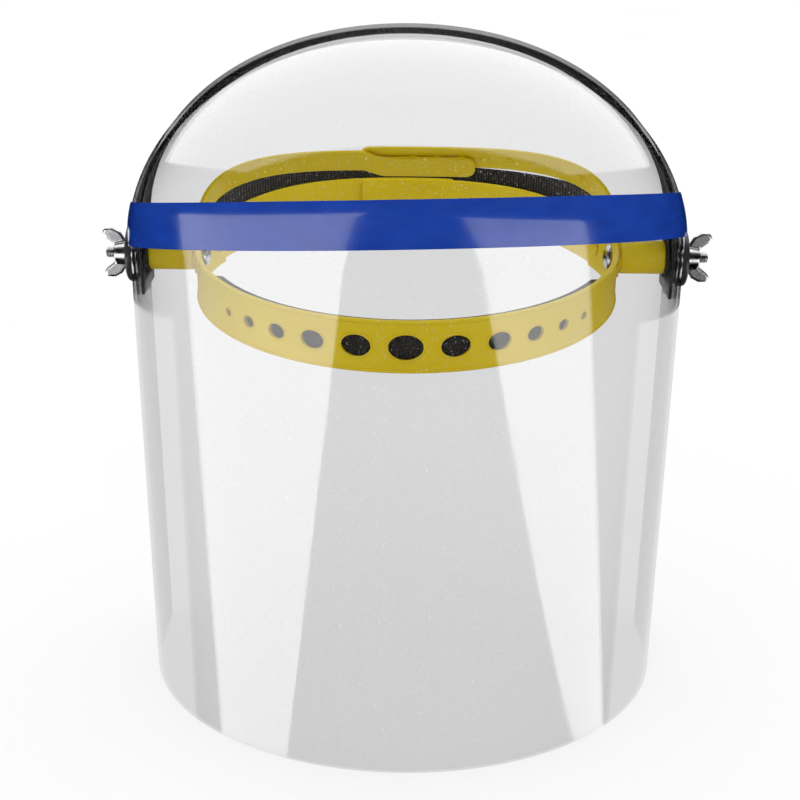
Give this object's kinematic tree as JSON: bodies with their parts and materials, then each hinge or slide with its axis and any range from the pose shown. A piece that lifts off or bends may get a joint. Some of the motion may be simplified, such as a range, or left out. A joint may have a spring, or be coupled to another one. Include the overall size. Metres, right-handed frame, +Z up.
{
  "type": "face shield",
  "caption": "Clear domed face visor with a black crown strip, tilting on wing-nut pivots on a yellow headband with brow and crown straps.",
  "frame": {"origin": "middle of the footprint, on the plane of the visor's bottom rim", "axes": "+Z up, the wearer faces -Y, +X is to the right in a front view; the pivots lie along X"},
  "size_m": [0.2752, 0.2042, 0.3],
  "materials": {
    "clear_sheet": "glossy clear thermoformed sheet",
    "blue_film": "glossy printed film",
    "black_plastic": "satin black moulded plastic",
    "yellow_plastic": "satin yellow moulded plastic",
    "black_foam": "matt closed-cell foam",
    "black_elastic": "woven elastic",
    "black_rubber": "matt rubber",
    "zinc_steel": "bright zinc plate"
  },
  "bodies": {
    "visor": {"visor_shell": "clear_sheet", "visor_label": "blue_film", "crown_strip": "black_plastic"},
    "headband": {"brow_band": "yellow_plastic", "brow_sweatband": "black_foam", "nape_band_left": "yellow_plastic", "nape_band_right": "yellow_plastic", "nape_elastic": "black_elastic", "pivot_bolt_left": "zinc_steel", "pivot_bolt_right": "zinc_steel", "pivot_spacer_left": "yellow_plastic", "pivot_spacer_right": "yellow_plastic", "friction_washer_left": "black_rubber", "friction_washer_right": "black_rubber", "clamp_washer_left": "black_plastic", "clamp_washer_right": "black_plastic", "band_rivet_left": "yellow_plastic", "band_rivet_right": "yellow_plastic"},
    "crown_strap": {"crown_strap_left": "yellow_plastic", "crown_strap_right": "yellow_plastic"},
    "left_nut": {"wing_nut_left": "zinc_steel"},
    "right_nut": {"wing_nut_right": "zinc_steel"}
  },
  "joints": [
    {"name": "visor_tilt", "type": "hinge", "parent": "visor", "child": "headband", "pos_m": [0, 0.0106, 0.2], "axis": [1, 0, 0], "range_deg": [0, 90]},
    {"name": "crown_strap_swing", "type": "hinge", "parent": "headband", "child": "crown_strap", "pos_m": [0, 0.0106, 0.2], "axis": [1, 0, 0], "range_deg": [0, 60]},
    {"name": "left_nut_turn", "type": "hinge", "parent": "headband", "child": "left_nut", "pos_m": [-0.129, 0.0106, 0.2], "axis": [1, 0, 0], "continuous": true},
    {"name": "right_nut_turn", "type": "hinge", "parent": "headband", "child": "right_nut", "pos_m": [0.129, 0.0106, 0.2], "axis": [1, 0, 0], "continuous": true}
  ]
}
